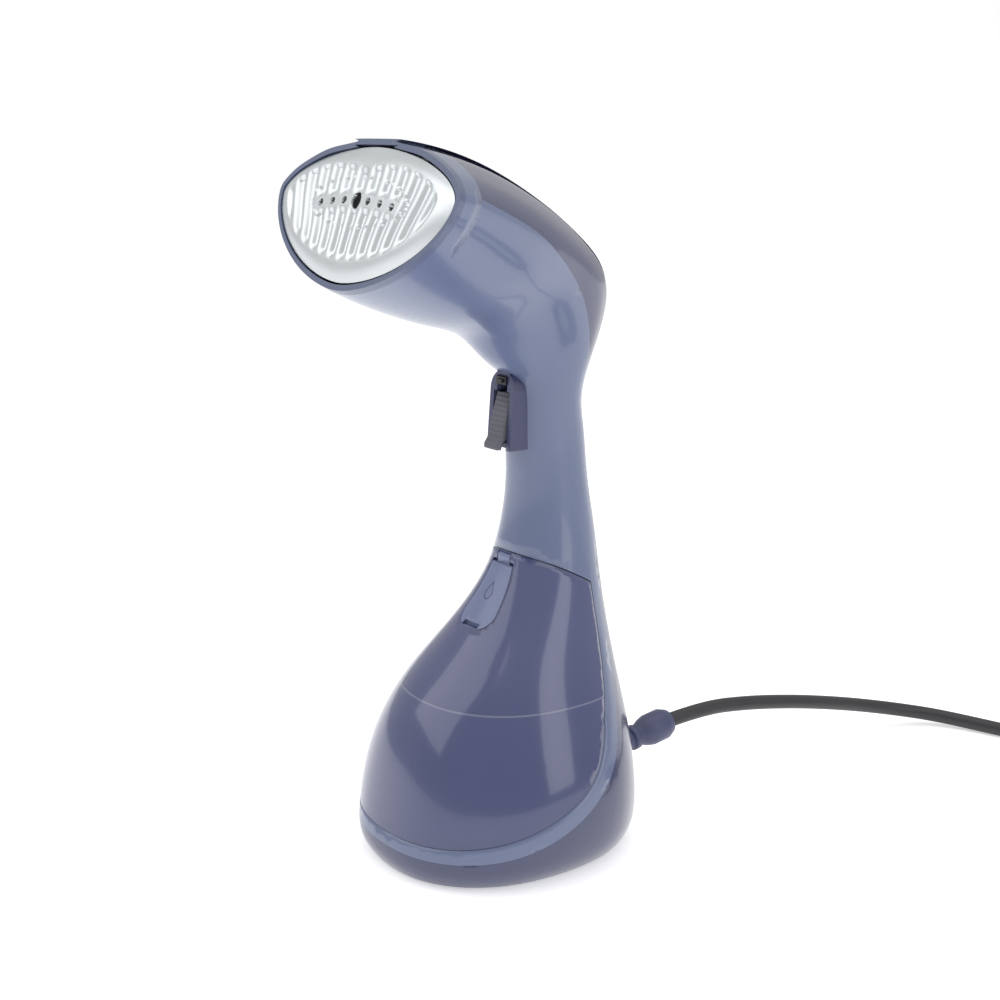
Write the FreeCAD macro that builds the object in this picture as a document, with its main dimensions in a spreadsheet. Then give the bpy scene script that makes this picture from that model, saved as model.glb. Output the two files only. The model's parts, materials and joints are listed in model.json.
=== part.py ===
"""Garment steamer with a removable water tank, a tilted steam head and a mains cord.

Millimetres. +Z is up, the soleplate faces -Y, and the origin is under the middle of the base.
"""
import FreeCAD, Part
import Sketcher
import math
import os
from FreeCAD import Placement, Rotation, Vector

doc = FreeCAD.newDocument("GarmentSteamer")
sheet = doc.addObject("Spreadsheet::Sheet", "Sizes")

SIZES = {
    # outline of the body and the head
    "neck_height": 190, "base_depth": 110, "base_half_width": 54, "foot_gap": 1.0,
    "head_reach": 81.8, "head_rise": 69.8, "plate_tilt": 19.8,
    "bezel_half_width": 61.8, "bezel_above": 23.2, "bezel_below": 32.8,
    "shell_wall": 2.2, "collar_back": 12.0, "bezel_depth": 3.2, "bezel_rim": 2.2, "web_wall": 2.5,
    # soleplate and heater
    "plate_gap": 0.8, "plate_proud": 1.8, "plate_back": 3.0, "plate_slope": 4.0, "gasket_wall": 1.2,
    "hole_pitch": 8.2, "hole_radius": 1.3, "centre_hole_radius": 3.0,
    "chamber_width": 84, "chamber_height": 26, "chamber_depth": 12, "cover_thick": 2.0,
    "element_radius": 3.2, "element_spread": 16, "lug_radius": 5.0, "screw_radius": 1.5,
    "thermostat_radius": 7.5, "thermostat_height": 8,
    # water tank
    "tank_wall": 2.2, "tank_gap": 0.4, "weld_height": 67, "cap_thick": 3.2, "cap_gap": 0.3,
    "cap_bottom": 93, "cap_bottom_half": 10.8, "cap_top_half": 6.6, "hinge_height": 118.6,
    "mouth_height": 103, "mouth_radius": 6.0, "pin_radius": 0.8, "pin_play": 0.05, "knuckle_wall": 1.1,
    "valve_height": 97, "valve_radius": 4.5, "valve_wall": 1.4, "valve_play": 0.05,
    "tube_radius": 2.2, "seat_length": 5.5, "boss_radius": 3.0,
    # trigger
    "frame_bottom": 163, "frame_top": 194, "frame_half_width": 7.7, "frame_wall": 2.5,
    "trigger_pivot_height": 182.8, "trigger_pin_radius": 1.0, "side_play": 0.4,
    # base
    "plate_floor": 2.5, "foot_width": 3.5, "foot_height": 2.0,
    "pump_radius": 9, "pump_length": 46, "coil_radius": 11, "coil_length": 24, "plunger_radius": 4,
    "hose_radius": 2.1, "inlet_radius": 1.8, "board_width": 30, "board_height": 34, "board_thick": 1.6,
    # cord and plug
    "cord_diameter": 6.5, "relief_root": 5.4, "relief_end": 6.9, "relief_length": 42.5,
    "coil_mean_radius": 36.5, "tie_width": 12, "tie_thick": 0.9,
    "plug_length": 36, "plug_width": 36, "plug_thick": 17, "pin_length": 19, "plug_pin_radius": 2.0,
}
for row, (alias, number) in enumerate(SIZES.items(), start=1):
    sheet.set(f"A{row}", alias)
    sheet.set(f"B{row}", str(number))
    sheet.setAlias(f"B{row}", alias)
doc.recompute()
nodes = {}


def size(alias):
    return float(sheet.get(alias))


def keep(label, item):
    """Name a sub-part and put it on the list of what is written out."""
    item.Label = label
    nodes[label] = item
    return item


def shape_part(label, shape):
    """A sub-part whose shape is worked out here, from the sheet's sizes."""
    item = doc.addObject("Part::Feature", label)
    item.Shape = shape
    return keep(label, item)


def primitive(kind, name, place, **bindings):
    """A Part primitive whose sizes are bound to the sheet."""
    item = doc.addObject(f"Part::{kind}", name)
    for prop, expression in bindings.items():
        item.setExpression(prop, expression)
    item.Placement = place
    return item


def boolean(kind, name, first, second):
    item = doc.addObject(f"Part::{kind}", name)
    if kind in ("Cut",):
        item.Base, item.Tool = first, second
    else:
        item.Shapes = [first] + second
    return item


def group(name, items):
    item = doc.addObject("Part::Compound", name)
    item.Links = items
    return item


# ---------------------------------------------------------------- outline of the whole body

FLOOR = size("foot_gap")
WALL = size("shell_wall")
TILT = math.radians(size("plate_tilt"))
plate_out = Vector(0, -math.cos(TILT), math.sin(TILT))
plate_up = Vector(0, math.sin(TILT), math.cos(TILT))
NECK_MIDDLE = 21.0 / 110 * size("base_depth")
plate_centre = Vector(0, NECK_MIDDLE - size("head_reach"), size("neck_height") + size("head_rise"))
WIDE = 200.0  # longer than the steamer is wide, for cutting tools

# share of neck height, front and back as shares of base depth, half width as a share of the base's
BODY = [
    (0.000, -0.488, 0.470, 0.840), (0.030, -0.516, 0.484, 0.935), (0.075, -0.512, 0.484, 0.993),
    (0.160, -0.482, 0.474, 1.000), (0.263, -0.430, 0.460, 0.898), (0.368, -0.322, 0.437, 0.736),
    (0.474, -0.155, 0.418, 0.544), (0.579, -0.017, 0.401, 0.407), (0.684, 0.046, 0.382, 0.331),
    (0.789, 0.064, 0.357, 0.283), (0.894, 0.055, 0.342, 0.258), (1.000, 0.041, 0.343, 0.285),
]
# underside and crest as shares of reach and rise, half width as a share of the bezel's, level, roundness
HEAD = [
    (0.257, 0.057, -0.269, 0.200, 0.275, 0.52, 2.20), (0.346, 0.143, -0.309, 0.516, 0.356, 0.55, 2.10),
    (0.452, 0.254, -0.139, 0.779, 0.481, 0.58, 2.00), (0.643, 0.330, 0.159, 1.009, 0.663, 0.60, 1.90),
    (0.862, 0.410, 0.483, 1.189, 0.822, 0.62, 1.80),
]
BODY_ROUNDNESS, PLATE_ROUNDNESS, PLATE_LEVEL = 2.25, 1.75, 0.63
OUTLINE_STEPS = 12


def spot(y, z):
    """A place given for the standard body, moved with the base's depth and the neck's height."""
    return y * size("base_depth") / 110.0, z * size("neck_height") / 190.0


def half_outline(lower, upper, half_width, level, roundness):
    """The +X half of a rounded oval between two points of the side view."""
    along = upper - lower
    points = []
    for step in range(OUTLINE_STEPS + 1):
        turn = math.pi * (step / OUTLINE_STEPS - 0.5)
        c, s = abs(math.cos(turn)) if 0 < step < OUTLINE_STEPS else 0.0, math.sin(turn)
        rise = math.copysign(abs(s) ** (2 / roundness), s)
        share = level + rise * ((1 - level) if rise > 0 else level)
        points.append(lower + along * share + Vector(half_width * c ** (2 / roundness), 0, 0))
    curve = Part.BSplineCurve()
    curve.interpolate(Points=points, Parameters=[float(step) for step in range(OUTLINE_STEPS + 1)],
                      InitialTangent=Vector(1, 0, 0), FinalTangent=Vector(-1, 0, 0))
    return curve


def both_halves(half):
    return [half, half.mirror(Vector(), Vector(1, 0, 0))]


def section(*row):
    """A closed smooth outline, the same on both sides."""
    return Part.Wire(Part.__sortEdges__(both_halves(half_outline(*row).toShape())))


def skin(rows):
    """A solid whose smooth side runs through every row."""
    curves = [half_outline(*row) for row in rows]
    middles = [(row[0] + row[1]) / 2 for row in rows]
    lengths = [0.0]
    for before, after in zip(middles, middles[1:]):
        lengths.append(lengths[-1] + (after - before).Length)
    columns = []
    for place in range(1, curves[0].NbPoles + 1):
        column = Part.BSplineCurve()
        column.interpolate(Points=[curve.getPole(place) for curve in curves], Parameters=lengths)
        columns.append(column)
    surface = Part.BSplineSurface()
    surface.buildFromPolesMultsKnots([column.getPoles() for column in columns],
                                     curves[0].getMultiplicities(), columns[0].getMultiplicities(),
                                     curves[0].getKnots(), columns[0].getKnots(), False, False, 3, 3)
    sides = both_halves(surface.toShape())
    ends = [Part.Face(section(*row)) for row in (rows[0], rows[-1])]
    shell = Part.Shell(sides + ends)
    shell.sewShape()
    solid = Part.Solid(shell)
    return solid if solid.Volume > 0 else solid.reversed()


def stations(inset):
    """Every section of the body, from the floor to the soleplate, drawn in by an inset."""
    rows = []
    for up, front, back, half in BODY:
        height = FLOOR + up * (size("neck_height") - FLOOR)
        depth = size("base_depth")
        rows.append((Vector(0, front * depth, height), Vector(0, back * depth, height),
                     half * size("base_half_width"), 0.5, BODY_ROUNDNESS))
    reach, rise, neck = size("head_reach"), size("head_rise"), size("neck_height")
    for ua, ub, ca, cb, half, level, roundness in HEAD:
        under = Vector(0, NECK_MIDDLE - reach * ua, neck + rise * ub)
        crest = Vector(0, NECK_MIDDLE - reach * ca, neck + rise * cb)
        rows.append((under, crest, half * size("bezel_half_width"), level, roundness))
    rows.append((plate_centre - plate_up * size("bezel_below"), plate_centre + plate_up * size("bezel_above"),
                 size("bezel_half_width"), PLATE_LEVEL, PLATE_ROUNDNESS))
    drawn = []
    for lower, upper, half, level, roundness in rows:
        along = (upper - lower).normalize()
        drawn.append((lower + along * inset, upper - along * inset, half - inset, level, roundness))
    return drawn


def moved(row, shift):
    return (row[0] + shift, row[1] + shift) + row[2:]


drawn_solids = {}


def body_solid(inset):
    """The body's outline as one solid; drawn in, it runs out past both ends, as a cutting tool."""
    inset = round(inset, 4)
    if inset not in drawn_solids:
        rows = stations(inset)
        if inset:
            rows = [moved(rows[0], Vector(0, 0, -6))] + rows + [moved(rows[-1], plate_out * 8)]
        drawn_solids[inset] = skin(rows)
    return drawn_solids[inset]


def plate_outline(inset, out):
    """The soleplate's outline, drawn in by an inset and moved out along the plate's normal."""
    row = stations(inset)[-1]
    return section(*moved(row, plate_out * out))


def plate_ring(outer_inset, inner_inset, back, front):
    ring = Part.makeLoft([plate_outline(outer_inset, back), plate_outline(outer_inset, front)], True)
    hole = Part.makeLoft([plate_outline(inner_inset, back - 1), plate_outline(inner_inset, front + 1)], True)
    return ring.cut(hole)


def slab(edges):
    """A closed side-view outline, as a block that runs through the whole width."""
    face = Part.Face(Part.Wire(Part.__sortEdges__(edges)))
    block = face.extrude(Vector(2 * WIDE, 0, 0))
    block.translate(Vector(-WIDE, 0, 0))
    return block


def side_points(pairs):
    return [Vector(0, *spot(y, z)) for y, z in pairs]


def shifted(points, distance):
    """Points moved square to the line that they make, to its left as seen from +X."""
    out = []
    for i, p in enumerate(points):
        before, after = points[max(i - 1, 0)], points[min(i + 1, len(points) - 1)]
        run = (after - before).normalize()
        out.append(p + Vector(0, -run.z, run.y) * distance)
    return out


def curve_edge(points):
    curve = Part.BSplineCurve()
    curve.interpolate(points)
    return curve.toShape()


def line_edges(points):
    return [Part.LineSegment(a, b).toShape() for a, b in zip(points, points[1:])]


CRADLE = [(29.8, 127), (29.8, 110), (29.6, 94), (26.4, 76), (19.8, 57.5), (10.5, 41.5), (-6, 30.5),
          (-26, 23), (-48, 18), (-75, 15.5)]
TANK_TOP = [(-75, 130), (-8, 124.5), (3.4, 121.5), (16, 116.4), (29.8, 109), (44, 100.5)]
REAR = [(-62, 268), (-44, 261), (-29.6, 255.6), (-14, 249), (3, 238.5), (18, 226.4), (26.8, 214.5),
        (32.0, 202), (33.9, 186), (34.9, 160), (36.2, 130), (36.8, 105), (35.2, 84), (31.2, 65),
        (24, 46), (10.5, 32.3), (-8, 21.8), (-30, 15), (-52, 12.3), (-75, 11.6)]


def tank_space(gap):
    """The side-view space that the tank fills, made larger by a gap, or smaller if it is negative."""
    back = shifted(side_points(CRADLE), gap)
    far = [back[-1], Vector(0, -WIDE, back[-1].z), Vector(0, -WIDE, back[0].z), back[0]]
    before_cradle = slab([curve_edge(back)] + line_edges(far))
    top = shifted(side_points(TANK_TOP), gap)
    deep = [top[-1], Vector(0, top[-1].y, -20), Vector(0, top[0].y, -20), top[0]]
    return before_cradle.common(slab([curve_edge(top)] + line_edges(deep)))


def rear_space():
    seam = side_points(REAR)
    far = Vector(0, 2 * WIDE, 2 * WIDE)
    corners = [seam[-1], Vector(0, seam[-1].y, -20), Vector(0, far.y, -20), far, Vector(0, seam[0].y, far.z), seam[0]]
    return slab([curve_edge(seam)] + line_edges(corners))


def head_space(back):
    """All that lies in front of a plane square to the soleplate's normal."""
    box = Part.makeBox(2 * WIDE, 2 * WIDE, 80)
    box.Placement = Placement(plate_centre - plate_out * back, HEAD_TURN)
    return box.translated(Vector(-WIDE, 0, 0) - plate_up * WIDE)


HEAD_TURN = Rotation(Vector(1, 0, 0), 90 - size("plate_tilt"))


def head_place(x, up, out):
    """A place on the head, from the plate's centre: across, up the plate and out along its normal."""
    return Placement(plate_centre + Vector(x, 0, 0) + plate_up * up + plate_out * out, HEAD_TURN)


outer = body_solid(0)
inner = body_solid(WALL)
tank_block = tank_space(0)
print("outline volume", round(outer.Volume / 1000), "cm3")


def front_at(height):
    """The front of the body's outline at a height, on the middle line."""
    return min(wire.BoundBox.YMin for wire in outer.slice(Vector(0, 0, 1), height))


# ---------------------------------------------------------------- shells

def make_shells():
    rear = rear_space()
    collar_zone = head_space(size("collar_back"))
    bezel_zone = head_space(size("bezel_depth"))
    hollow = inner.cut(tank_space(WALL))
    housing = outer.cut(tank_block).cut(rear).cut(collar_zone).cut(hollow)
    cover = outer.common(rear).cut(collar_zone).cut(inner)
    collar = outer.common(collar_zone).cut(bezel_zone).cut(inner)
    web = inner.common(collar_zone).cut(head_space(size("collar_back") - size("web_wall")))
    opening = Part.makeBox(size("chamber_width") + 3, size("chamber_height") + 3, 40)
    opening.Placement = head_place(-size("chamber_width") / 2 - 1.5, -size("chamber_height") / 2 - 4.5, -30)
    for x, up in lug_spots():
        bore = Part.makeCylinder(size("screw_radius"), 40)
        bore.Placement = head_place(x, up, -30)
        opening = opening.fuse(bore)
    collar = collar.fuse(web.cut(opening)).removeSplitter()
    bezel = outer.common(bezel_zone).cut(body_solid(size("bezel_rim")))
    return housing, cover, collar, bezel


CHAMBER_DROP = 3.0  # the chamber sits a little below the row of holes


def lug_spots():
    x = size("chamber_width") / 2 - size("lug_radius") - 14
    up = -CHAMBER_DROP + size("chamber_height") / 2 + 4
    return [(x, up), (-x, up)]


def frame_outline(grow):
    """The trigger frame's front view: straight sides and a rounded top, as a block along Y."""
    half, low, high = size("frame_half_width") + grow, size("frame_bottom") - grow, size("frame_top") + grow
    ridge = high - half
    left, right = Vector(-half, 0, ridge), Vector(half, 0, ridge)
    arc = Part.Arc(left, Vector(0, 0, high), right).toShape()
    rest = line_edges([right, Vector(half, 0, low), Vector(-half, 0, low), left])
    return Part.Face(Part.Wire([arc] + rest))


FRAME_FRONT_TOP, FRAME_FRONT_BOTTOM = 0.0, -2.6
handle_front = front_at((size("frame_bottom") + size("frame_top")) / 2)
trigger_y = handle_front - 4.2  # the trigger parts are placed from 4.2 in front of the handle


def block(x0, x1, y0, y1, z0, z1):
    return Part.makeBox(x1 - x0, y1 - y0, z1 - z0, Vector(x0, y0, z0))


def side_block(pairs, half):
    """A side-view polygon, as wide as twice the half width."""
    points = [Vector(-half, y, z) for y, z in pairs]
    return Part.Face(Part.makePolygon(points + points[:1])).extrude(Vector(2 * half, 0, 0))


def make_trigger_parts():
    low, high, half = size("frame_bottom"), size("frame_top"), size("frame_half_width")
    pivot_z, play = size("trigger_pivot_height"), size("side_play")
    inside = half - size("frame_wall")
    body = frame_outline(0).extrude(Vector(0, 30, 0)).translated(Vector(0, -20, 0))
    trim = side_block([(FRAME_FRONT_TOP, high + 1), (FRAME_FRONT_BOTTOM, low - 1), (9.5, low - 1), (9.5, high + 1)],
                      half + 5)
    body = body.common(trim)
    cavity = block(-inside, inside, -20, 7.2, low + 2, pivot_z + 2.9)
    notch = block(-inside, inside, -20, 0.6, low - 5, low + 3)
    channel = block(-inside + 1.8, inside - 1.8, -20, 3.8, pivot_z, high - 2.4)
    pin_hole = Part.makeCylinder(size("trigger_pin_radius"), 2 * half - 1, Vector(0.5 - half, 3.2, pivot_z),
                                 Vector(1, 0, 0))
    stem_hole = block(-2, 2, 7, 12, low + 10, low + 15)
    body = body.cut(cavity).cut(notch).cut(channel).cut(pin_hole).cut(stem_hole)
    paddle = side_block([(0.2, pivot_z + 2.2), (-2.2, low + 14), (-4.4, low + 5), (-6.3, low + 2.2),
                         (-6.3, low + 0.4), (-4.2, low + 0.2), (-3.4, low + 3.4), (2.4, low + 6),
                         (3.2, low + 12), (5.4, pivot_z - 2.2), (5.4, pivot_z + 2.2)], inside - play)
    paddle = paddle.makeFillet(0.8, [e for e in paddle.Edges if is_front_corner(e, low)])
    stem = block(-1.5, 1.5, 2, 8.4, low + 11, low + 14)
    bore = Part.makeCylinder(size("trigger_pin_radius") + size("pin_play"), 2 * half,
                             Vector(-half, 3.2, pivot_z), Vector(1, 0, 0))
    paddle = paddle.fuse(stem).cut(bore).removeSplitter()
    pin = Part.makeCylinder(size("trigger_pin_radius"), 2 * half - 1, Vector(0.5 - half, 3.2, pivot_z),
                            Vector(1, 0, 0))
    tab = block(-inside + 1.8 + play / 2, inside - 1.8 - play / 2, -1.2, 3.4, pivot_z + 5.6, pivot_z + 8.6)
    slider = tab.fuse(block(-1.6, 1.6, -2.2, 0, pivot_z + 6.4, pivot_z + 7.8)).removeSplitter()
    spring = coil_spring(1.9, 0.35, 3.2, 3, Placement(Vector(0, 3.35, low + 8), Rotation(Vector(1, 0, 0), -90)))
    made = {"trigger_frame": body, "trigger": paddle, "trigger_pin": pin, "lock_slider": slider,
            "trigger_spring": spring}
    for label, shape in made.items():
        shape_part(label, shape.translated(Vector(0, trigger_y, 0)))
    return frame_outline(0).extrude(Vector(0, 29.5, 0)).translated(Vector(0, -20 + trigger_y, 0))


def is_front_corner(edge, low):
    """The paddle's lengthwise edges at its finger side, which are rounded."""
    a, b = edge.Vertexes[0].Point, edge.Vertexes[-1].Point
    return abs(a.x - b.x) < 1e-6 and max(a.y, b.y) < -2.0 and min(a.z, b.z) > low - 5 and abs(a.x) > 1


def coil_spring(radius, wire, length, turns, place):
    helix = Part.makeHelix(length / turns, length, radius)
    profile = Part.Wire([Part.Circle(Vector(radius, 0, 0), Vector(0, 1, 0), wire).toShape()])
    spring = Part.Wire(helix.Edges).makePipeShell([profile], True, True)
    spring.Placement = place
    return spring


# ---------------------------------------------------------------- water tank

def cap_prism(grow, back):
    """The filler cap's front view, as a block that reaches back from the front of the tank."""
    low, high = size("cap_bottom") - grow, size("hinge_height") - 2.6 + grow
    wide, slim = size("cap_bottom_half") + grow, size("cap_top_half") + grow
    points = [Vector(-wide, -90, low), Vector(wide, -90, low), Vector(slim, -90, high), Vector(-slim, -90, high)]
    prism = Part.Face(Part.makePolygon(points + points[:1])).extrude(Vector(0, 90 + back, 0))
    corners = [e for e in prism.Edges if abs(e.Vertexes[0].Point.y - e.Vertexes[-1].Point.y) > 10
               and e.Vertexes[0].Point.z < low + 1]
    return prism.makeFillet(5.0 + grow, corners)


def rod(radius, x0, x1, y, z):
    return Part.makeCylinder(radius, x1 - x0, Vector(x0, y, z), Vector(1, 0, 0))


def make_tank():
    wall, gap, thick = size("tank_wall"), size("cap_gap"), size("cap_thick")
    full = outer.common(tank_space(-size("tank_gap")))
    hollow = body_solid(wall).common(tank_space(-size("tank_gap") - wall))
    hinge_z = size("hinge_height")
    hinge_y = front_at(hinge_z) + size("pin_radius") + size("knuckle_wall") + 0.3
    knuckle = size("pin_radius") + size("knuckle_wall")
    seal_thick = 0.9
    pocket_floor = body_solid(thick + seal_thick + 0.1)
    pad = cap_prism(2.6, 24).cut(body_solid(thick + seal_thick + wall))
    hollow = hollow.cut(pad).cut(block(-9.5, 9.5, -90, hinge_y + 5.4, hinge_z - 5, hinge_z + 20))
    seat_z, seat_r = size("valve_height"), size("valve_radius") + size("valve_wall")
    rear_y = tank_rear_at(seat_z)
    boss = Part.makeCylinder(seat_r + 2.0, 7.0, Vector(0, rear_y - 7.0, seat_z), Vector(0, 1, 0))
    hollow = hollow.cut(boss)
    tank = full.cut(hollow)
    tank = tank.cut(cap_prism(gap, 14).cut(pocket_floor))
    tank = tank.cut(Part.makeCylinder(size("mouth_radius"), 40, Vector(0, -30, size("mouth_height")),
                                      Vector(0, 1, 0)))
    tank = tank.cut(rod(knuckle + gap, -4.3, 4.3, hinge_y, hinge_z))
    tank = tank.cut(block(-4.3, 4.3, -30, hinge_y, hinge_z - 6, hinge_z + knuckle + gap))
    across = size("cap_top_half") + gap
    tank = tank.cut(block(-across, across, -30, hinge_y - knuckle - gap, hinge_z - 6, hinge_z + knuckle))
    recess = block(-across, across, -30, hinge_y, hinge_z - 3, hinge_z + knuckle)
    tank = tank.cut(recess.cut(rod(knuckle + gap, -across, across, hinge_y, hinge_z)))
    tank = tank.cut(rod(size("pin_radius"), -7.2, 7.2, hinge_y, hinge_z))
    tank = tank.cut(Part.makeCylinder(seat_r, 20, Vector(0, rear_y - 9, seat_z), Vector(0, 1, 0)))
    below = Part.makeBox(2 * WIDE, 2 * WIDE, WIDE, Vector(-WIDE, -WIDE, size("weld_height") - WIDE))
    cap = outer.common(cap_prism(0, 12)).cut(body_solid(thick))
    arm = block(-3.9, 3.9, hinge_y - knuckle, hinge_y, hinge_z - 4.5, hinge_z).common(outer)
    cap = cap.fuse(arm).fuse(rod(knuckle, -3.9, 3.9, hinge_y, hinge_z))
    cap = cap.cut(rod(size("pin_radius") + size("pin_play"), -6, 6, hinge_y, hinge_z)).removeSplitter()
    lift = block(-5, 5, -90, 40, size("cap_bottom") - 2, size("cap_bottom") + 1.6)
    cap = cap.cut(lift.cut(body_solid(thick * 0.45)))
    mouth_ring = [Part.makeCylinder(size("mouth_radius") + r, 60, Vector(0, -40, size("mouth_height")),
                                    Vector(0, 1, 0)) for r in (2.2, 0.4)]
    seal = mouth_ring[0].cut(mouth_ring[1]).common(body_solid(thick)).cut(body_solid(thick + seal_thick))
    shape_part("tank_upper", tank.cut(below))
    shape_part("tank_lower", tank.common(below))
    shape_part("filler_cap", cap)
    shape_part("cap_seal", seal)
    shape_part("cap_pin", rod(size("pin_radius"), -7.2, 7.2, hinge_y, hinge_z))
    print("cap hinge", round(hinge_y, 3), round(hinge_z, 3), "tank rear at valve", round(rear_y, 3))
    return rear_y


def tank_rear_at(height):
    """The tank's rear face at a height, on the middle line."""
    return max(wire.BoundBox.YMax for wire in tank_space(-size("tank_gap")).slice(Vector(0, 0, 1), height))


def make_valve(rear_y):
    """The tank's outlet valve, its spring-loaded poppet and the housing's seat with its seal."""
    z, radius, wall = size("valve_height"), size("valve_radius"), size("valve_wall")
    back = Vector(0, 1, 0)
    at = Vector(0, rear_y, z)
    case = Part.makeCylinder(radius + wall, 11, at + back * -10.9, back)
    bore = Part.makeCylinder(radius - 1.5, 12, at + back * -11, back)
    chamber = Part.makeCylinder(radius, 7.5, at + back * -9, back)
    shape_part("tank_valve", case.cut(bore).cut(chamber))
    poppet = Part.makeCylinder(radius - size("valve_play") - 0.4, 1.6, at + back * -3.4, back)
    stem = Part.makeCylinder(1.2, 5.0, at + back * -3.4, back)
    shape_part("valve_poppet", poppet.fuse(stem).removeSplitter())
    shape_part("valve_spring", coil_spring(2.6, 0.3, 4.6, 4, Placement(at + back * -8.6, Rotation(Vector(1, 0, 0), -90))))
    seat_start = size("tank_gap") + 0.6
    seat = Part.makeCylinder(radius + wall, size("seat_length"), at + back * seat_start, back)
    seat = seat.cut(Part.makeCylinder(2.0, 12, at, back))
    seat = seat.cut(Part.makeCylinder(3.4, 1.4, at + back * seat_start, back))
    shape_part("valve_seat", seat)
    seal = Part.makeTorus(2.7, 0.6, at + back * (seat_start + 0.7), back)
    shape_part("seat_seal", seal)
    return seat_start


def round_tube(points, radius, label, hole=0.0):
    """A tube of straight runs joined by arcs that touch both, as large as the shorter run allows."""
    edges, start, radii = [], points[0], []
    for a, b, c in zip(points, points[1:], points[2:]):
        into, out = (b - a).normalize(), (c - b).normalize()
        turn = into.getAngle(out)
        share = 0.45 * min((b - a).Length, (c - b).Length)
        first, last = b - into * share, b + out * share
        middle = (out - into).normalize()
        bend = share / math.tan(turn / 2)
        centre = b + middle * (bend / math.cos(turn / 2))
        edges += [Part.LineSegment(start, first).toShape(), Part.Arc(first, centre - middle * bend, last).toShape()]
        start = last
        radii.append(bend)
    edges.append(Part.LineSegment(start, points[-1]).toShape())
    spine = Part.Wire(edges)
    facing = (points[1] - points[0]).normalize()
    ring = Part.Wire([Part.Circle(points[0], facing, radius).toShape()])
    tube = spine.makePipeShell([ring], True, False)
    expected = math.pi * radius ** 2 * spine.Length
    print(label, "length", round(spine.Length), "radii", [round(r) for r in radii],
          "volume share", round(tube.Volume / expected, 3))
    if hole:
        bore = Part.Wire([Part.Circle(points[0], facing, hole).toShape()])
        tube = tube.cut(spine.makePipeShell([bore], True, False))
    return shape_part(label, tube)


# ---------------------------------------------------------------- bodies with sketches

def origin_plane(body, role):
    return next(f for f in body.Origin.OriginFeatures if f.Role == role)


def rectangle_body(label, width, depth, thick, place, corner=None, bore=None):
    """A plate or block: a centred rectangle sketch, padded, with rounded corners or a hole if asked."""
    body = doc.addObject("PartDesign::Body", label)
    sketch = body.newObject("Sketcher::SketchObject", label + "_outline")
    sketch.AttachmentSupport = [(origin_plane(body, "XY_Plane"), "")]
    sketch.MapMode = "FlatFace"
    w, d = size(width) / 2, size(depth) / 2
    corners = [Vector(-w, -d, 0), Vector(w, -d, 0), Vector(w, d, 0), Vector(-w, d, 0)]
    for i in range(4):
        sketch.addGeometry(Part.LineSegment(corners[i], corners[(i + 1) % 4]), False)
    for i in range(4):
        sketch.addConstraint(Sketcher.Constraint("Coincident", i, 2, (i + 1) % 4, 1))
        sketch.addConstraint(Sketcher.Constraint("Horizontal" if i % 2 == 0 else "Vertical", i))
    sketch.addConstraint(Sketcher.Constraint("Symmetric", 0, 1, 2, 1, -1, 1))
    for name, kind, line, alias in (("Across", "DistanceX", 0, width), ("Along", "DistanceY", 1, depth)):
        index = sketch.addConstraint(Sketcher.Constraint(kind, line, 1, line, 2, size(alias)))
        sketch.renameConstraint(index, name)
        sketch.setExpression("Constraints." + name, "Sizes." + alias)
    pad = body.newObject("PartDesign::Pad", label + "_pad")
    pad.Profile = sketch
    pad.setExpression("Length", thick if thick.startswith("Sizes") else "Sizes." + thick)
    doc.recompute()
    if corner:
        upright = [f"Edge{i + 1}" for i, e in enumerate(pad.Shape.Edges)
                   if abs(e.Vertexes[0].Point.z - e.Vertexes[-1].Point.z) > 1e-6]
        fillet = body.newObject("PartDesign::Fillet", label + "_corners")
        fillet.Base = (pad, upright)
        fillet.Radius = corner
    if bore:
        hole_sketch = body.newObject("Sketcher::SketchObject", label + "_hole")
        hole_sketch.AttachmentSupport = [(origin_plane(body, "XY_Plane"), "")]
        hole_sketch.MapMode = "FlatFace"
        hole_sketch.addGeometry(Part.Circle(Vector(0, 0, 0), Vector(0, 0, 1), size(bore)), False)
        index = hole_sketch.addConstraint(Sketcher.Constraint("Radius", 0, size(bore)))
        hole_sketch.renameConstraint(index, "Bore")
        hole_sketch.setExpression("Constraints.Bore", "Sizes." + bore)
        pocket = body.newObject("PartDesign::Pocket", label + "_bore")
        pocket.Profile = hole_sketch
        pocket.Type = "ThroughAll"
        pocket.Midplane = True
    doc.recompute()
    body.Placement = place
    return keep(label, body)


# ---------------------------------------------------------------- head: soleplate and heater

def make_soleplate():
    gap = size("bezel_rim") + size("plate_gap")
    back, proud = -size("plate_back"), size("plate_proud")
    plate = Part.makeLoft([plate_outline(gap, back), plate_outline(gap, -0.4)], True)
    crown = Part.makeLoft([plate_outline(gap, -0.4), plate_outline(gap + size("plate_slope"), proud)], True)
    plate = plate.fuse(crown).removeSplitter()
    for i in range(-3, 4):
        radius = size("centre_hole_radius") if i == 0 else size("hole_radius")
        hole = Part.makeCylinder(radius, 20)
        hole.Placement = head_place(i * size("hole_pitch"), -1.6 * (i / 3) ** 2, -10)
        plate = plate.cut(hole)
    shape_part("soleplate", plate)
    gasket_back = back - size("gasket_wall")
    shape_part("plate_gasket", plate_ring(WALL + 1.4, WALL + 5.5, gasket_back, back))


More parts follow.
